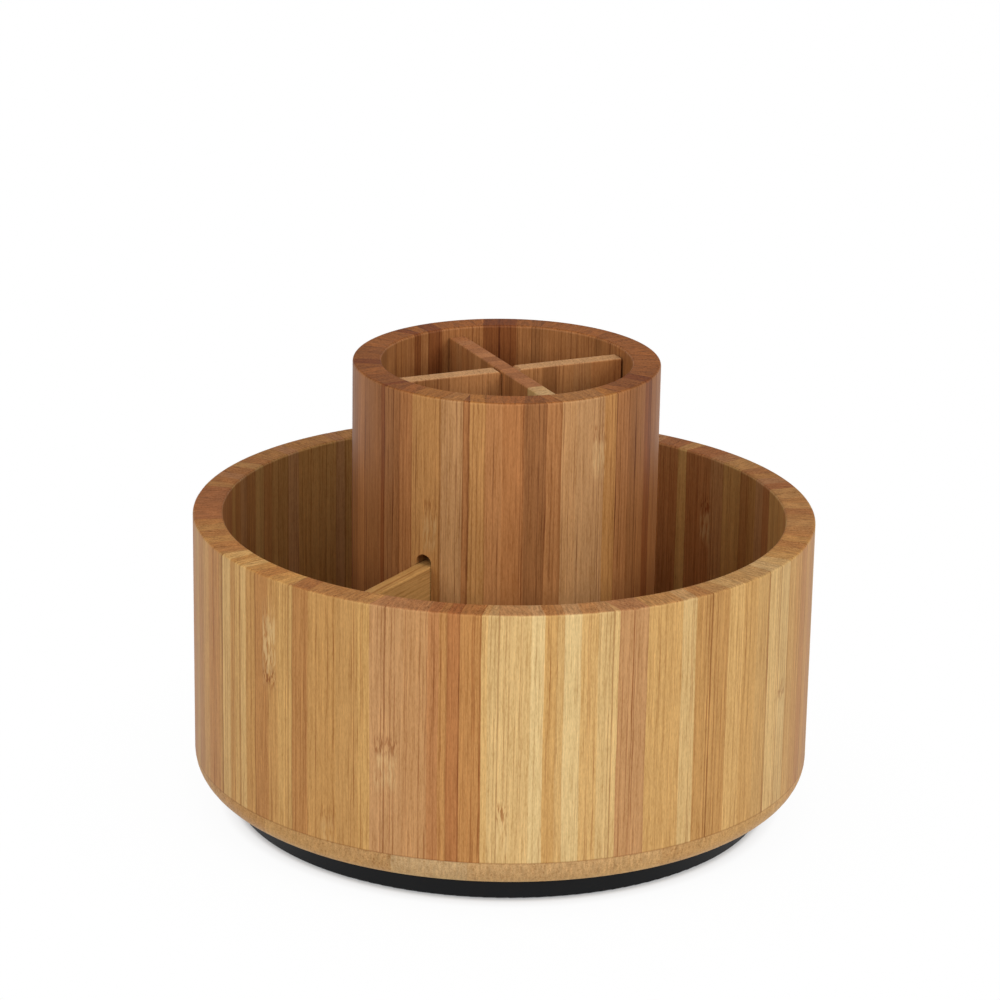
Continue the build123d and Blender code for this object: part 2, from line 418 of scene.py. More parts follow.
    def _strip_tones(self, add: Add, place: Wire) -> tuple[Wire, Wire]:
        """Draws the strips.

        Args:
            add: Adds a node to the tree.
            place: Where on the piece, in its grain's axes.

        Returns:
            The strip's own tone, and how dense its fibre bundles lie, from 0 to 1.
        """
        low, high = self.reach_mm
        drift = mottle(add, place, (40.0, 60.0, 110.0))
        across = add("SeparateXYZ", {0: place}, "Y")
        across = add("Math", {0: drift, 1: self.wander_mm, 2: across}, operation="MULTIPLY_ADD")
        offset = self.wander_mm / 2
        share = add("MapRange", {"Value": across, "From Min": low + offset, "From Max": high + offset})
        tone = add("ValToRGB", {0: share})
        density = add("ValToRGB", {0: share})
        edges = [(strip.start_mm - low) / (high - low) for strip in self.strips] + [1.0]
        fill_ramp(tone, [(at, strip.colour) for at, strip in zip(edges, self.strips)], "CONSTANT")
        hair = 0.0005  # The ramp can't hold two stops at one place.
        sides = []
        for at, until, strip in zip(edges, edges[1:], self.strips):
            first, last = strip.density
            sides.append((at, (first, first, first, 1.0)))
            sides.append((until - hair, (last, last, last, 1.0)))
        fill_ramp(density, sides, "LINEAR")
        return tone, density

    def _bundles(self, add: Add, place: Wire, density: Wire) -> Wire:
        """Draws the fibre bundles, which run the whole length and come and go in strength.

        Args:
            add: Adds a node to the tree.
            place: Where on the piece, in its fibres' axes.
            density: How dense the bundles lie, from 0 to 1.

        Returns:
            How dark the bundles are, from 0 to 1.
        """
        flattened = (self.bundle_flatness / self.bundle_mm, 1 / self.bundle_mm, 1.0)
        scaled = add("VectorMath", {0: place, 1: flattened}, operation="MULTIPLY")
        distance = add("TexVoronoi", {"Vector": scaled, "Scale": 1.0}, "Distance", voronoi_dimensions="2D")
        core = add(
            "MapRange",
            {"Value": distance, "From Min": 0.08, "From Max": 0.42, "To Min": 1.0, "To Max": 0.0},
            interpolation_type="SMOOTHSTEP")
        dense = add("MapRange", {"Value": density, "To Min": 0.18, "To Max": self.fibre_strength})
        lines = BUNDLE_BREAKS.draw(add, place, core)
        return add("Math", {0: lines, 1: dense}, operation="MULTIPLY")

    def _knuckle_zones(self, add: Add, place: Wire) -> tuple[Wire | float, Wire | float]:
        """Marks where the knuckles' brown dashes and the pale patches under them lie.

        Args:
            add: Adds a node to the tree.
            place: Where on the piece, in its grain's axes.

        Returns:
            The zone of dashes and the zone of the patch, each from 0 to 1.
        """
        across = add("SeparateXYZ", {0: place}, "Y")
        along = across.node.outputs["Z"]
        zones = [0.0, 0.0]
        for knuckle in self.knuckles:
            aside = apart(add, across, knuckle.across_mm)
            half_width = knuckle.half_width_mm
            inside = add(
                "MapRange",
                {"Value": aside, "From Min": half_width, "From Max": half_width - knuckle.fade_mm,
                 "To Max": knuckle.strength})
            centres = (knuckle.along_mm, knuckle.along_mm - knuckle.patch_drop_mm)
            reaches = (knuckle.dash_reach_mm, knuckle.patch_reach_mm)
            for i, (centre, reach) in enumerate(zip(centres, reaches)):
                away = apart(add, along, centre)
                zone = add(
                    "MapRange", {"Value": away, "From Min": reach, "From Max": reach / 4},
                    interpolation_type="SMOOTHSTEP")
                zone = add("Math", {0: zone, 1: inside}, operation="MULTIPLY")
                zones[i] = add("Math", {0: zones[i], 1: zone}, operation="MAXIMUM")
        return zones[0], zones[1]

    def _swirled(self, add: Add, place: Wire, dashes: Wire | float, patch: Wire | float) -> Wire:
        """Bends the fibres where they pass a knuckle.

        Args:
            add: Adds a node to the tree.
            place: Where on the piece, in its grain's axes.
            dashes: The zone of the knuckles' brown dashes.
            patch: The zone of the pale patches under them.

        Returns:
            Where on the piece, in its fibres' axes.
        """
        if not self.knuckles:
            return place
        most = max(knuckle.swirl_mm for knuckle in self.knuckles)
        reach = add("Math", {0: dashes, 1: patch}, operation="MAXIMUM")
        reach = add("Math", {0: reach, 1: 2 * most}, operation="MULTIPLY")
        return push(add, place, (3.0, 2.4, 5.0), reach)

    def _joint_lines(self, add: Add, place: Wire, object_place: Wire) -> Wire | float:
        """Draws the thin glue lines to the neighbouring staves and the board under them.

        Args:
            add: Adds a node to the tree.
            place: Where on the piece, in its grain's axes.
            object_place: Where on the piece, in the part's axes and metres.

        Returns:
            How strong the line is, from 0 to 1.
        """
        strokes = []
        if self.joint_half_angle:
            outward = add("SeparateXYZ", {0: place}, "X")
            aside = add("Math", {0: outward.node.outputs["Y"]}, operation="ABSOLUTE")
            slope = add("Math", {0: outward, 1: math.sin(self.joint_half_angle)}, operation="MULTIPLY")
            away = add(
                "Math", {0: aside, 1: -math.cos(self.joint_half_angle), 2: slope}, operation="MULTIPLY_ADD")
            strokes.append((away, 0.30, 0.05, 0.30))
        if self.seam_mm is not None:
            level = add("SeparateXYZ", {0: object_place}, "Z")
            away = apart(add, level, self.seam_mm * MM)
            strokes.append((away, 0.4 * MM, 0.1 * MM, 0.35))
        line = 0.0
        for away, edge, core, strength in strokes:
            stroke = add(
                "MapRange", {"Value": away, "From Min": edge, "From Max": core, "To Max": strength},
                interpolation_type="SMOOTHSTEP")
            line = add("Math", {0: line, 1: stroke}, operation="MAXIMUM")
        return line


@dataclass(frozen=True)
class MouldedPlastic(Finish):
    """Black ABS, injection moulded in a tool with a fine spark-eroded texture.

    The eye gets a soft satin sheen that breaks up in a very fine grain. The real grain is about
    0.1 mm and is drawn at 0.4 mm, because the render shows no less.
    """

    colour: str = "#0E0F11"
    roughness: tuple[float, float] = (0.34, 0.46)
    ior: float = 1.52
    sheen: float = 0.15
    grain_mm: float = 0.4

    def shade(self, add: Add) -> Inputs:
        """Draws the moulded grain, slight cloudiness and the satin sheen.

        Args:
            add: Adds a node to the tree.

        Returns:
            The shader's inputs, by socket.
        """
        place = self.place_mm(add)
        grain = mottle(add, place, (self.grain_mm,) * 3)
        cloud = mottle(add, place, (18.0, 18.0, 12.0), 2.0)
        value = add("MapRange", {"Value": cloud, **NOISE_REACH, "To Min": 0.88, "To Max": 1.14})
        colour = add("VectorMath", {0: linear(self.colour)[:3], "Scale": value}, operation="SCALE")
        low, high = self.roughness
        rough = add("MapRange", {"Value": grain, **NOISE_REACH, "To Min": low, "To Max": high})
        relief = add("Bump", {"Height": grain, "Strength": 0.3, "Distance": 0.02 * MM}, "Normal")
        return {"Base Color": colour, "Roughness": rough, "IOR": self.ior,
                "Specular IOR Level": self.sheen, "Normal": relief}


@dataclass(frozen=True)
class MouldedRubber(Finish):
    """Black nitrile rubber, press moulded.

    The eye gets a dead matt grey-black with a dusty mottle where it has touched a table.
    """

    colour: str = "#232325"
    dust_colour: str = "#4A4845"

    def shade(self, add: Add) -> Inputs:
        """Draws the matt skin and its dusty mottle.

        Args:
            add: Adds a node to the tree.

        Returns:
            The shader's inputs, by socket.
        """
        dust = mottle(add, self.place_mm(add), (1.2, 1.2, 1.2), 3.0)
        share = add("MapRange", {"Value": dust, "From Min": 0.45, "From Max": 0.75, "To Max": 0.35})
        colour = add(
            "Mix", {0: share, MIX_FIRST: linear(self.colour), MIX_SECOND: linear(self.dust_colour)},
            MIX_RESULT, data_type="RGBA")
        rough = add("MapRange", {"Value": dust, **NOISE_REACH, "To Min": 0.78, "To Max": 0.92})
        relief = add("Bump", {"Height": dust, "Strength": 0.4, "Distance": 0.04 * MM}, "Normal")
        return {"Base Color": colour, "Roughness": rough, "Normal": relief}


@dataclass(frozen=True)
class TurnedAluminium(Finish):
    """Aluminium, turned on a lathe.

    The eye gets pale grey metal with fine rings left by the tool, 0.25 mm apart, round the axis.
    """

    colour: str = "#D3D5D8"
    feed_mm: float = 0.25

    def shade(self, add: Add) -> Inputs:
        """Draws the rings that the lathe tool left.

        Args:
            add: Adds a node to the tree.

        Returns:
            The shader's inputs, by socket.
        """
        place = self.place_mm(add)
        flat = add("VectorMath", {0: place, 1: (1.0, 1.0, 0.0)}, operation="MULTIPLY")
        radius = add("VectorMath", {0: flat}, "Value", operation="LENGTH")
        level = add("SeparateXYZ", {0: place}, "Z")
        run = add("Math", {0: radius, 1: level}, operation="ADD")
        turns = add("Math", {0: run, 1: 2 * math.pi / self.feed_mm}, operation="MULTIPLY")
        rings = add("Math", {0: turns}, operation="SINE")
        worn = mottle(add, place, (6.0, 6.0, 6.0), 3.0)
        rings = add("Math", {0: rings, 1: worn}, operation="MULTIPLY")
        rough = add(
            "MapRange", {"Value": rings, "From Min": -0.6, "From Max": 0.6, "To Min": 0.24, "To Max": 0.38})
        relief = add("Bump", {"Height": rings, "Strength": 0.3, "Distance": 0.01 * MM}, "Normal")
        return {"Base Color": linear(self.colour), "Metallic": 1.0, "Roughness": rough, "Normal": relief}


@dataclass(frozen=True)
class PolishedSteel(Finish):
    """Bearing steel, hardened and lapped.

    The eye gets a near mirror, dulled a little here and there by a film of grease.
    """

    colour: str = "#C6C8CA"

    def shade(self, add: Add) -> Inputs:
        """Draws the lapped mirror and its film of grease.

        Args:
            add: Adds a node to the tree.

        Returns:
            The shader's inputs, by socket.
        """
        film = mottle(add, self.place_mm(add), (1.5, 1.5, 1.5), 2.0)
        rough = add(
            "MapRange", {"Value": film, "From Min": 0.35, "From Max": 0.7, "To Min": 0.07, "To Max": 0.22})
        return {"Base Color": linear(self.colour), "Metallic": 1.0, "Roughness": rough}


@dataclass(frozen=True)
class NaturalNylon(Finish):
    """Undyed nylon, injection moulded.

    The eye gets a milky cream plastic that lets a little light in, with faint flow marks.
    """

    colour: str = "#E4DFCF"
    light_share: float = 0.2
    light_depth_mm: float = 1.0

    def shade(self, add: Add) -> Inputs:
        """Draws the milky body and its flow marks.

        Args:
            add: Adds a node to the tree.

        Returns:
            The shader's inputs, by socket.
        """
        flow = mottle(add, self.place_mm(add), (5.0, 5.0, 1.5), 2.0)
        value = add("MapRange", {"Value": flow, **NOISE_REACH, "To Min": 0.93, "To Max": 1.03})
        colour = add("VectorMath", {0: linear(self.colour)[:3], "Scale": value}, operation="SCALE")
        rough = add("MapRange", {"Value": flow, **NOISE_REACH, "To Min": 0.42, "To Max": 0.54})
        return {"Base Color": colour, "Roughness": rough, "Subsurface Weight": self.light_share,
                "Subsurface Scale": self.light_depth_mm * MM}


@dataclass(frozen=True)
class ZincPlatedSteel(Finish):
    """Cold-headed steel, zinc plated and clear passivated.

    The eye gets a bright grey with a faint play of straw in it and a fine frosting.
    """

    colour: str = "#B9BDC3"
    straw_colour: str = "#CFC6A8"

    def shade(self, add: Add) -> Inputs:
        """Draws the plating's play of colour and its frosting.

        Args:
            add: Adds a node to the tree.

        Returns:
            The shader's inputs, by socket.
        """
        place = self.place_mm(add)
        play = mottle(add, place, (2.5, 2.5, 2.5), 2.0)
        share = add("MapRange", {"Value": play, "From Min": 0.35, "From Max": 0.65, "To Max": 0.5})
        colour = add(
            "Mix", {0: share, MIX_FIRST: linear(self.colour), MIX_SECOND: linear(self.straw_colour)},
            MIX_RESULT, data_type="RGBA")
        frost = mottle(add, place, (0.25, 0.25, 0.25))
        rough = add("MapRange", {"Value": frost, **NOISE_REACH, "To Min": 0.26, "To Max": 0.40})
        return {"Base Color": colour, "Metallic": 1.0, "Roughness": rough}


def grain_axes(along: Vector, across: Vector) -> Matrix:
    """Axes of a piece's grain.

    Args:
        along: The way that the fibres run.
        across: The way in which one strip follows another.

    Returns:
        The rotation that brings a place into the grain's own axes: x into the face, y across
        the strips and z along the fibres.
    """
    return Matrix((across.cross(along), across, along))


def reach_along(piece: Piece, direction: Vector) -> tuple[float, float]:
    """Lowest and highest place of a piece along a direction, in millimetres."""
    places = [direction.dot(vertex.co) / MM for vertex in piece.data.vertices]
    return min(places), max(places)


def compass(azimuth: float) -> Vector:
    """The level direction at an azimuth in degrees."""
    turn = math.radians(azimuth)
    return Vector((math.sin(turn), -math.cos(turn), 0.0))


def cut_cane(reach: tuple[float, float], width_mm: float, tones: tuple[Tone, ...],
             chooser: random.Random) -> Cuts:
    """Picks widths and tones for the strips of a piece that the photograph doesn't show well.

    Args:
        reach: Where the piece starts and ends across its strips.
        width_mm: The usual width of a strip.
        tones: The tones to pick from, the piece's own one first.
        chooser: The seeded source of chance.

    Returns:
        Width, as a share of the usual one, and tone of each strip.
    """
    own_share, narrowest, widest = 6, 0.84, 1.16
    count = max(1, round((reach[1] - reach[0]) / width_mm))
    shares = [own_share] + [1] * (len(tones) - 1)
    return tuple(
        (chooser.uniform(narrowest, widest), chooser.choices(tones, shares)[0]) for _ in range(count))


def lay_strips(reach: tuple[float, float], cuts: Cuts, spread: float,
               skin_lines: float, chooser: random.Random) -> tuple[Strip, ...]:
    """Lays a piece's strips side by side, as the press did.

    Pale strips come from the heart of the cane, where the fibre bundles lie less dense. Some strips
    keep a thin dark line of the cane's skin along one side.

    Args:
        reach: Where the piece starts and ends across its strips.
        cuts: Width and tone of each strip; the widths are stretched to fill the reach.
        spread: How far a strip's brightness may lie from its tone.
        skin_lines: The share of strips with a dark line of skin.
        chooser: The seeded source of chance.

    Returns:
        The strips, from the lowest place to the highest.
    """
    low, high = reach
    total = sum(width for width, _ in cuts)
    skin_line_mm, skin_shade = 0.45, (0.78, 0.72, 0.67)
    green_loss, blue_loss = 0.025, 0.07
    strips = []
    start = low
    for width, tone in cuts:
        red, green, blue, alpha = linear(tone.value)
        value = 1 + chooser.uniform(-spread, spread)
        warmth = chooser.uniform(-0.4, 1)
        colour = (red * value, green * value * (1 - green_loss * warmth),
                  blue * value * (1 - blue_loss * warmth), alpha)
        crowd = min(1.0, 1.6 - 2.4 * green)
        skin = crowd * chooser.uniform(0.55, 1.0)
        heart = crowd * chooser.uniform(0.0, 0.3)
        density = (skin, heart) if chooser.random() < 0.5 else (heart, skin)
        strips.append(Strip(start, colour, density))
        start += (high - low) * width / total
        if chooser.random() < skin_lines and tone not in PALE_TONES:
            dark = tuple(shade * channel for shade, channel in zip(skin_shade, colour))
            strips.append(Strip(start - skin_line_mm, (*dark, alpha), (1.0, 1.0)))
    return tuple(strips)


def dress(piece: Piece, finish: Finish) -> None:
    """Puts a finish on a piece and reports it."""
    piece.material_slots[0].material = finish.build()
    log.info("%s: %s", piece.name, type(finish).__name__)


@dataclass(frozen=True)
class StaveLook:
    """How one stave was made up: width in millimetres and tone of each strip, and its knuckles.

    A stave whose rim is painted lighter or darker than the others, for the light and sheen that fall
    on its rim at its place round the drum, has an end tint of its own.
    """

    cuts: Cuts
    knuckles: tuple[Knuckle, ...] = ()
    end_tint_and_painted_light: str | None = None


@dataclass
class StaveWall:
    """A wall of upright staves, glued into a ring and turned round."""

    prefix: str
    count: int
    strip_mm: float
    spread: float
    skin_lines: float
    seed: int
    stock: tuple[Tone, ...]
    looks: dict[int, StaveLook]
    end_tint_and_painted_light: str
    fibre_tint: str
    fibre_strength: float
    seam_mm: float | None

    def dress(self, nodes: dict[str, Piece]) -> None:
        """Gives each stave its own strips and finish.

        Args:
            nodes: The part's pieces, by name.
        """
        chooser = random.Random(self.seed)
        share = 360 / self.count
        for index in range(self.count):
            number = index + 1
            piece = nodes[f"{self.prefix}_{number:02d}"]
            outward = compass(index * share)
            across = UP.cross(outward)
            reach = reach_along(piece, across)
            look = self.looks.get(number) or self._spare_look(reach, chooser)
            strips = lay_strips(reach, look.cuts, self.spread, self.skin_lines, chooser)
            finish = LaminatedBamboo(
                name=f"bamboo_{piece.name}",
                axes=grain_axes(UP, across),
                strips=strips,
                reach_mm=reach,
                knuckles=look.knuckles,
                joint_half_angle=math.radians(share / 2),
                seam_mm=self.seam_mm,
                end_tint_and_painted_light=look.end_tint_and_painted_light or self.end_tint_and_painted_light,
                fibre_tint=self.fibre_tint,
                fibre_strength=self.fibre_strength,
            )
            dress(piece, finish)

    def _spare_look(self, reach: tuple[float, float], chooser: random.Random) -> StaveLook:
        """Picks a look for a stave that the photograph doesn't show.

        Args:
            reach: Where the stave starts and ends across its strips.
            chooser: The seeded source of chance.

        Returns:
            The stave's look.
        """
        tones = (chooser.choice(self.stock), *self.stock)
        cuts = cut_cane(reach, self.strip_mm, tones, chooser)
        across = chooser.uniform(reach[0] + self.strip_mm / 2, reach[1] - self.strip_mm / 2)
        knuckle = Knuckle(across, chooser.uniform(30, 85), strength=chooser.uniform(0.3, 0.9))
        return StaveLook(cuts, (knuckle,) if chooser.random() < 0.6 else ())


@dataclass
class FloorBoard:
    """The round board under both rings, pressed from wide strips."""

    grain_azimuth: float
    seam_mm: float
    cuts: Cuts = (
        (12.0, Tone.WHEAT), (15.0, Tone.WHEAT), (20.0, Tone.HONEY), (20.0, Tone.HONEY), (23.0, Tone.STRAW),
        (20.0, Tone.GOLD), (21.0, Tone.GOLD), (19.0, Tone.GOLD), (23.0, Tone.HONEY), (17.0, Tone.HONEY),
        (10.0, Tone.WHEAT))
    spread: float = 0.05
    skin_lines: float = 0.0
    seed: int = 7

    def dress(self, nodes: dict[str, Piece]) -> None:
        """Lays the wide strips along the grain and shows their cut ends at the edge.

        Args:
            nodes: The part's pieces, by name.
        """
        piece = nodes["floor_board"]
        along = compass(self.grain_azimuth)
        across = UP.cross(along)
        reach = reach_along(piece, across)
        chooser = random.Random(self.seed)
        strips = lay_strips(reach, self.cuts, self.spread, self.skin_lines, chooser)
        finish = LaminatedBamboo(
            name="bamboo_floor_board",
            axes=grain_axes(along, across),
            strips=strips,
            reach_mm=reach,
            seam_mm=self.seam_mm,
            end_tint_and_painted_light="#EFEFFF",
            end_contrast=0.6,
            fibre_strength=0.6,
            bundle_mm=1.0,
        )
        dress(piece, finish)


@dataclass
class RingDividers:
    """The two fixed boards that split the ring. Their grain runs along them."""

    azimuths: dict[str, float]
    strip_mm: float = 18.0
    spread: float = 0.07
    skin_lines: float = 0.0
    seed: int = 11

    def dress(self, nodes: dict[str, Piece]) -> None:
        """Lays level strips one over another on each board.

        Args:
            nodes: The part's pieces, by name.
        """
        chooser = random.Random(self.seed)
        for side, azimuth in self.azimuths.items():
            piece = nodes[f"ring_divider_{side}"]
            reach = reach_along(piece, UP)
            # These tones lean darker than the boards' tops need: painted shade for their sides, which lie
            # in shade; the redder hue is their own.
            cuts = cut_cane(reach, self.strip_mm, (Tone.WHEAT, Tone.AMBER, Tone.HONEY), chooser)
            finish = LaminatedBamboo(
                name=f"bamboo_{piece.name}",
                axes=grain_axes(compass(azimuth), UP),
                strips=lay_strips(reach, cuts, self.spread, self.skin_lines, chooser),
                reach_mm=reach,
                fibre_strength=0.8,
            )
            dress(piece, finish)


@dataclass(frozen=True)
class CrossBoard:
    """One board of the cross: its way, the tones of its strips and how its cut ends look.

    The last strips are given by width, as a share of the usual one, and tone.
    """

    azimuth: float
    tones: tuple[Tone, ...]
    last_strips: Cuts
    cut_end: CutEnd
    end_tint_and_painted_light: str


@dataclass
class CrossInsert:
    """The loose cross in the core. The grain of its boards runs up."""

    boards: dict[str, CrossBoard]
    strip_mm: float = 5.6
    spread: float = 0.08
    skin_lines: float = 0.0
    seed: int = 5

    def dress(self, nodes: dict[str, Piece]) -> None:
        """Lays upright strips side by side on each board.

        Args:
            nodes: The part's pieces, by name.
        """
        chooser = random.Random(self.seed)
        for side, board in self.boards.items():
            piece = nodes[f"cross_board_{side}"]
            across = compass(board.azimuth)
            reach = reach_along(piece, across)
            cuts = cut_cane(reach, self.strip_mm, board.tones, chooser)
            cuts = cuts[:-2] + board.last_strips
            finish = LaminatedBamboo(
                name=f"bamboo_{piece.name}",
                axes=grain_axes(UP, across),
                strips=lay_strips(reach, cuts, self.spread, self.skin_lines, chooser),
                reach_mm=reach,
                cut_end=board.cut_end,
                end_tint_and_painted_light=board.end_tint_and_painted_light,
                end_contrast=0.5,
                fibre_tint="#8E5C34",
                fibre_strength=0.9,
            )
            dress(piece, finish)


@dataclass
class Turntable:
    """The black base, its feet, the bearing in it and the screws that hold it."""

    foot_count: int = 4

    def dress(self, nodes: dict[str, Piece]) -> None:
        """Gives plastic, rubber and metal pieces their finishes.

        Args:
            nodes: The part's pieces, by name.
        """
        feet = tuple(f"rubber_foot_{number}" for number in range(1, self.foot_count + 1))
        finishes = {
            MouldedPlastic("moulded_abs"): ("turntable_base",),
            MouldedRubber("moulded_rubber"): feet,
            TurnedAluminium("turned_aluminium"): ("bearing_outer_ring", "bearing_inner_ring"),
            PolishedSteel("lapped_bearing_steel"): ("bearing_balls",),
            NaturalNylon("natural_nylon"): ("ball_cage",),
            ZincPlatedSteel("zinc_plated_steel"): ("base_screws", "floor_screws"),
        }
        for finish, names in finishes.items():
            for name in names:
                dress(nodes[name], finish)


@dataclass
class PhotoCamera:
    """The camera that took the photograph, as fitted to the object's own circles.

    It stands at an azimuth and elevation round the origin, looks a little above it, and is
    rolled slightly.
    """

    azimuth: float = 30.5
    elevation: float = 22.91
    distance_mm: float = 1194.0
    pitch: float = -4.60
    yaw: float = -0.074
    roll: float = 1.00
    lens_mm: float = 129.6

    def place(self) -> None:
        """Makes the camera, puts it in its place and gives it to the scene."""
        back = compass(self.azimuth)
        high = math.radians(self.elevation)
        location = (back * math.cos(high) + UP * math.sin(high)) * self.distance_mm * MM
        down = math.radians(self.elevation + self.pitch)
        look_level = Matrix.Rotation(math.radians(-self.yaw), 3, "Z") @ -back
        look = look_level * math.cos(down) - UP * math.sin(down)
        right = look.cross(UP).normalized()
        above = right.cross(look)
        tilt = math.radians(self.roll)
        rolled_right = right * math.cos(tilt) + above * math.sin(tilt)
        rolled_above = above * math.cos(tilt) - right * math.sin(tilt)
        camera = bpy.data.objects.new("photo_camera", bpy.data.cameras.new("photo_camera"))
        camera.data.sensor_width = 36.0
        camera.data.lens = self.lens_mm
        camera.data.clip_start = 0.05
        camera.data.clip_end = 20.0
        turn = Matrix((rolled_right, rolled_above, -look)).transposed()
        camera.matrix_world = Matrix.Translation(location) @ turn.to_4x4()
        bpy.context.scene.collection.objects.link(camera)
        bpy.context.scene.camera = camera
        log.info("camera at azimuth %.1f, elevation %.1f", self.azimuth, self.elevation)


@dataclass(frozen=True)
class SoftBox:
    """A square soft lamp round the object, aimed at its middle."""

    name: str
    azimuth: float
    elevation: float
    distance_m: float
    size_m: float
    watts: float

    def hang(self, aim: Vector) -> None:
        """Makes the lamp.

        Args:
            aim: The place that it points at.
        """
        high = math.radians(self.elevation)
        away = compass(self.azimuth) * math.cos(high) + UP * math.sin(high)
        lamp = bpy.data.lights.new(self.name, "AREA")
        lamp.shape = "SQUARE"
        lamp.size = self.size_m
        lamp.energy = self.watts
        holder = bpy.data.objects.new(self.name, lamp)
        holder.location = aim + away * self.distance_m
        holder.rotation_mode = "QUATERNION"
        holder.rotation_quaternion = (-away).to_track_quat("-Z", "Y")
        bpy.context.scene.collection.objects.link(holder)
        log.info("lamp %s: %.1f W", self.name, self.watts)


@dataclass
class Studio:
    """A white table and surround with soft lamps at both sides, in front and above.

    The glow is given by distance from the middle of the table, in millimetres, and strength.
    """

    camera_azimuth: float
    surround_strength: float = 0.30
    table_size_m: float = 8.0
    table_white: str = "#F4F4F4"
    aim_height_m: float = 0.06
    glow_reach_mm: float = 200.0
    glow: tuple[tuple[float, float], ...] = (
        (86.5, 0.25), (88.5, 0.76), (92.5, 0.955), (106.0, 0.98), (160.0, 1.0))

    def build(self) -> None:
        """Sets the view transform and builds the table, the surround and the lamps."""
        bpy.context.scene.view_settings.view_transform = "Standard"
        self._lay_table()
        self._light_surround()
        front = self.camera_azimuth
        lamps = (
            SoftBox("right_lamp", front + 52, elevation=28, distance_m=1.5, size_m=0.9, watts=9.4),
            SoftBox("left_lamp", front - 44, elevation=26, distance_m=1.6, size_m=0.9, watts=8.4),
            SoftBox("front_lamp", front + 8, elevation=26, distance_m=1.8, size_m=0.9, watts=4.7),
            SoftBox("top_lamp", front, elevation=80, distance_m=1.6, size_m=1.0, watts=4.8),
        )
        for lamp in lamps:
            lamp.hang(UP * self.aim_height_m)

    def _seen_directly(self, add: Add) -> Wire:
        """Tells the rays that show the studio to the camera from those that light the piece.

        Args:
            add: Adds a node to the tree.

        Returns:
            1 for rays seen straight, mirrored or through glass, and 0 for others.
        """
        camera_ray = add("LightPath", {}, "Is Camera Ray")
        rays = camera_ray.node.outputs
        seen = add("Math", {0: camera_ray, 1: rays["Is Glossy Ray"]}, operation="MAXIMUM")
        return add("Math", {0: seen, 1: rays["Is Transmission Ray"]}, operation="MAXIMUM")

    def _lay_table(self) -> None:
        """Lays the white table.

        It glows where it is seen, so that it runs out into white. It glows least under the base, so
        that it keeps the shadow there.
        """
        half = self.table_size_m / 2
        mesh = bpy.data.meshes.new("table")
        corners = [(-half, -half, 0.0), (half, -half, 0.0), (half, half, 0.0), (-half, half, 0.0)]
        mesh.from_pydata(corners, [], [(0, 1, 2, 3)])
        table = bpy.data.objects.new("table", mesh)
        bpy.context.scene.collection.objects.link(table)
        material = bpy.data.materials.new("white_table")
        material.use_nodes = True
        tree = material.node_tree
        tree.nodes.clear()
        add = partial(add_node, tree)
        matt = add("BsdfDiffuse", {"Color": linear(self.table_white)})
        glow = add("Emission", {"Strength": 1.0})
        object_place = add("TexCoord", {}, "Object")
        away = add("VectorMath", {0: object_place}, "Value", operation="LENGTH")
        share = add("MapRange", {"Value": away, "From Max": self.glow_reach_mm * MM})
        share = add("ValToRGB", {0: share})
        stops = [(at / self.glow_reach_mm, (level, level, level, 1.0)) for at, level in self.glow]
        fill_ramp(share, stops, "LINEAR")
        share = add("Math", {0: share, 1: self._seen_directly(add)}, operation="MULTIPLY")
        surface = add("MixShader", {0: share, 1: matt, 2: glow})
        add("OutputMaterial", {"Surface": surface})
        mesh.materials.append(material)

    def _light_surround(self) -> None:
        """Fills the room with soft light and shows it as white."""
        world = bpy.data.worlds.new("white_room")
        bpy.context.scene.world = world
        world.use_nodes = True
        tree = world.node_tree
        tree.nodes.clear()
        add = partial(add_node, tree)
        colour = (1.0, 1.0, 1.0, 1.0)
        soft = add("Background", {"Color": colour, "Strength": self.surround_strength})
        white = add("Background", {"Color": colour, "Strength": 1.0})
        surface = add("MixShader", {0: self._seen_directly(add), 1: soft, 2: white})
        add("OutputWorld", {"Surface": surface})


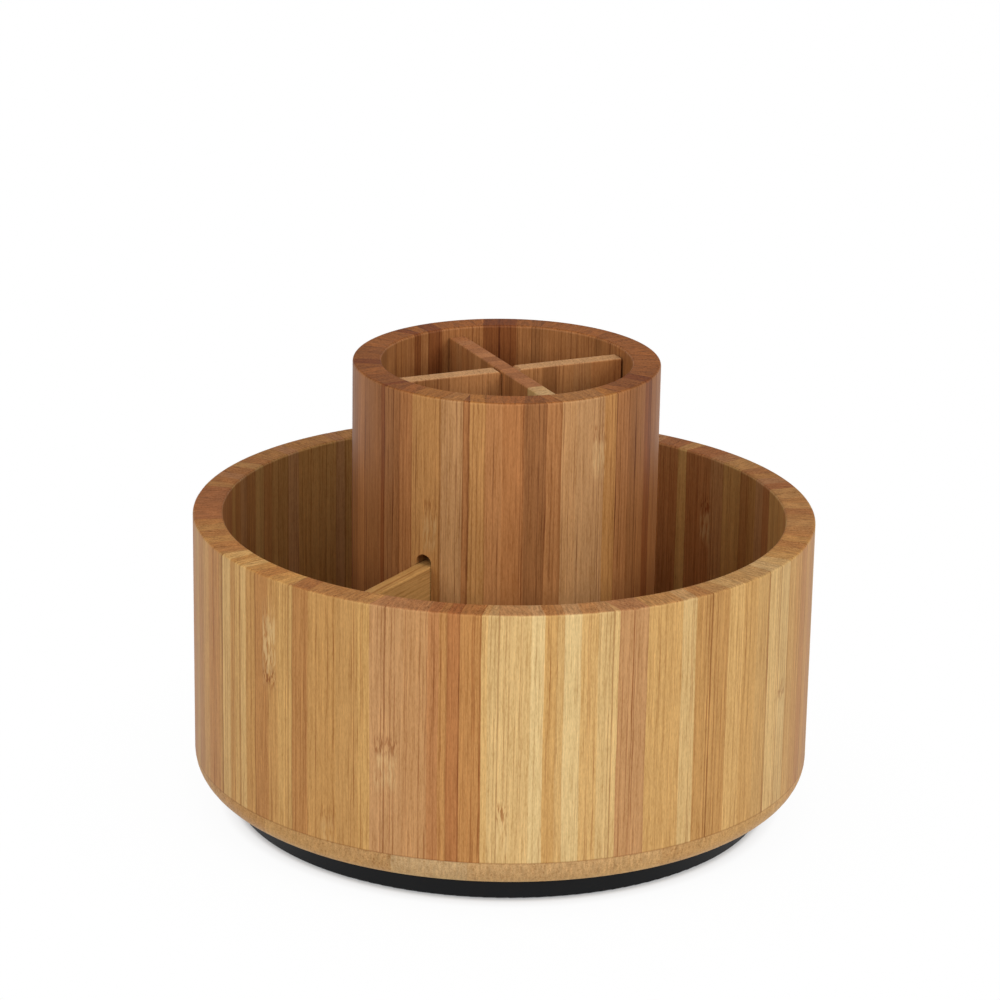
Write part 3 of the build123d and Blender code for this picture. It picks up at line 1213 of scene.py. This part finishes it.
def drum_wall(seam_mm: float) -> StaveWall:
    """Describes the outer wall: pale and honey strips between rose, russet and wheat ones.

    Args:
        seam_mm: Height of the seam between the staves and the floor board.

    Returns:
        The wall.
    """
    cream, straw, gold, honey = Tone.CREAM, Tone.STRAW, Tone.GOLD, Tone.HONEY
    wheat, amber, rose, russet, caramel = Tone.WHEAT, Tone.AMBER, Tone.ROSE, Tone.RUSSET, Tone.CARAMEL
    # The end tints of staves 17, 18, 3, 5 and 6 paint their rims lighter or darker: painted light and sheen
    # on the rim.
    looks = {
        # Stave 17 stands at the drum's left edge; its strips lean to amber and wheat, partly painted shade
        # for that edge, which the light leaves darker.
        17: StaveLook((
            (6.0, amber), (5.6, wheat), (5.8, amber), (6.0, wheat), (5.0, amber), (4.3, amber),
            (2.0, wheat)), end_tint_and_painted_light="#F0E4DA"),
        18: StaveLook((
            (5.4, gold), (3.0, wheat), (3.4, honey), (3.0, gold), (5.2, wheat), (6.0, amber),
            (4.6, wheat), (4.4, honey)),
            (Knuckle(9.0, 65.5, 3.3, 0.8, swirl_mm=1.6, patch_drop_mm=-11.0, patch_reach_mm=17.0),),
            "#FDF4E8"),
        1: StaveLook((
            (1.7, honey), (6.1, amber), (4.4, wheat), (6.1, wheat), (7.6, wheat), (4.0, honey),
            (4.8, rose)), (Knuckle(-2.0, 27.0, strength=0.35), Knuckle(16.4, 53.0, 2.6, 0.6))),
        2: StaveLook((
            (5.7, rose), (7.8, rose), (3.4, russet), (2.6, amber), (3.8, caramel), (6.6, amber),
            (1.9, gold), (3.0, straw)), (Knuckle(-15.6, 53.0, strength=0.6),)),
        3: StaveLook((
            (9.6, straw), (4.0, cream), (3.8, honey), (2.2, gold), (5.4, cream), (5.2, gold),
            (4.6, straw)),
            (Knuckle(-15.6, 34.5, 2.4, 0.7, patch_drop_mm=8.5, patch_reach_mm=11.0),), "#DEC4BE"),
        4: StaveLook((
            (1.7, straw), (4.7, rose), (4.9, rose), (6.1, honey), (6.1, honey), (5.2, straw),
            (6.1, wheat))),
        5: StaveLook((
            (4.0, wheat), (3.1, wheat), (6.8, gold), (7.0, honey), (7.0, honey), (6.8, straw)),
            end_tint_and_painted_light="#ECE8EC"),
        6: StaveLook((
            (6.0, straw), (5.6, honey), (6.0, wheat), (5.8, amber), (5.6, wheat), (5.7, amber)),
            (Knuckle(-14.5, 56.0, strength=0.6),), "#F3EAE4"),
        7: StaveLook((
            (6.0, wheat), (6.0, honey), (5.6, wheat), (6.0, amber), (5.6, honey), (5.5, wheat))),
    }
    return StaveWall(
        prefix="drum_stave", count=18, strip_mm=5.8, spread=0.04, skin_lines=0.25, seed=3,
        stock=(honey, wheat, amber, rose, russet), looks=looks,
        end_tint_and_painted_light="#E8D8D4", fibre_tint="#B07E4A", fibre_strength=0.95, seam_mm=seam_mm)


def core_wall() -> StaveWall:
    """Describes the core's wall, from bamboo that was steamed longer and came out browner.
    Its back staves are darker still, partly painted shade for the core's inside.

    Returns:
        The wall.
    """
    amber, rose, russet = Tone.AMBER, Tone.ROSE, Tone.RUSSET
    caramel, toffee, chestnut = Tone.CARAMEL, Tone.TOFFEE, Tone.CHESTNUT
    looks = {
        12: StaveLook(((2.6, toffee), (7.4, caramel), (10.2, toffee), (1.8, chestnut), (4.0, toffee))),
        1: StaveLook(
            ((2.8, toffee), (5.2, caramel), (4.2, amber), (6.1, amber), (7.1, rose)),
            (Knuckle(2.0, 112.0, strength=0.4),)),
        2: StaveLook(((1.8, caramel), (5.2, amber), (5.2, russet), (6.6, caramel), (6.6, toffee))),
        3: StaveLook(
            ((5.2, russet), (5.2, rose), (5.2, rose), (5.2, rose), (5.2, amber)),
            (Knuckle(6.0, 136.0, strength=0.5),)),
        4: StaveLook(((6.3, caramel), (4.1, toffee), (5.2, toffee), (5.2, chestnut), (5.2, toffee))),
    }
    return StaveWall(
        prefix="core_stave", count=12, strip_mm=5.2, spread=0.06, skin_lines=0.45, seed=12,
        # The back staves get dark toffee, chestnut and caramel strips: partly the core's browner bamboo,
        # partly painted shade for the inside of the core, which the light hardly reaches.
        stock=(toffee, chestnut, caramel), looks=looks,
        end_tint_and_painted_light="#E1CEB5", fibre_tint="#8E5A2E", fibre_strength=1.0, seam_mm=None)


def main() -> None:
    """Dresses every piece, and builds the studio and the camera."""
    logging.basicConfig(level=logging.INFO, format="%(message)s")
    camera = PhotoCamera()
    camera.place()
    nodes = frame["nodes"]
    seam_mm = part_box("floor_board")[1].z / MM
    sub_assemblies = (
        drum_wall(seam_mm),
        core_wall(),
        FloorBoard(grain_azimuth=camera.azimuth, seam_mm=seam_mm),
        RingDividers({"front": 0.0, "back": 180.0}),
        # Both boards' faces get caramel and toffee tones, partly painted shade for the inside of the core;
        # the lower board's top edges are set to a lighter colour, a painted highlight for the light from
        # above.
        CrossInsert({
            "lower": CrossBoard(
                azimuth=145.0,
                tones=(Tone.RUSSET, Tone.CARAMEL, Tone.TOFFEE),
                last_strips=((2.0, Tone.CARAMEL),),
                cut_end=CutEnd.PAINTED_LIGHT_COLOUR,
                end_tint_and_painted_light="#BF9062"),
            "upper": CrossBoard(
                azimuth=55.0,
                tones=(Tone.CARAMEL, Tone.TOFFEE, Tone.RUSSET),
                last_strips=((1.0, Tone.GOLD), (1.2, Tone.STRAW), (1.2, Tone.GOLD)),
                cut_end=CutEnd.TINTED,
                end_tint_and_painted_light="#FAF4FF"),
        }),
        Turntable(),
    )
    for sub_assembly in sub_assemblies:
        log.info("%s", type(sub_assembly).__name__)
        sub_assembly.dress(nodes)
    Studio(camera.azimuth).build()


if __name__ == "__main__":
    main()
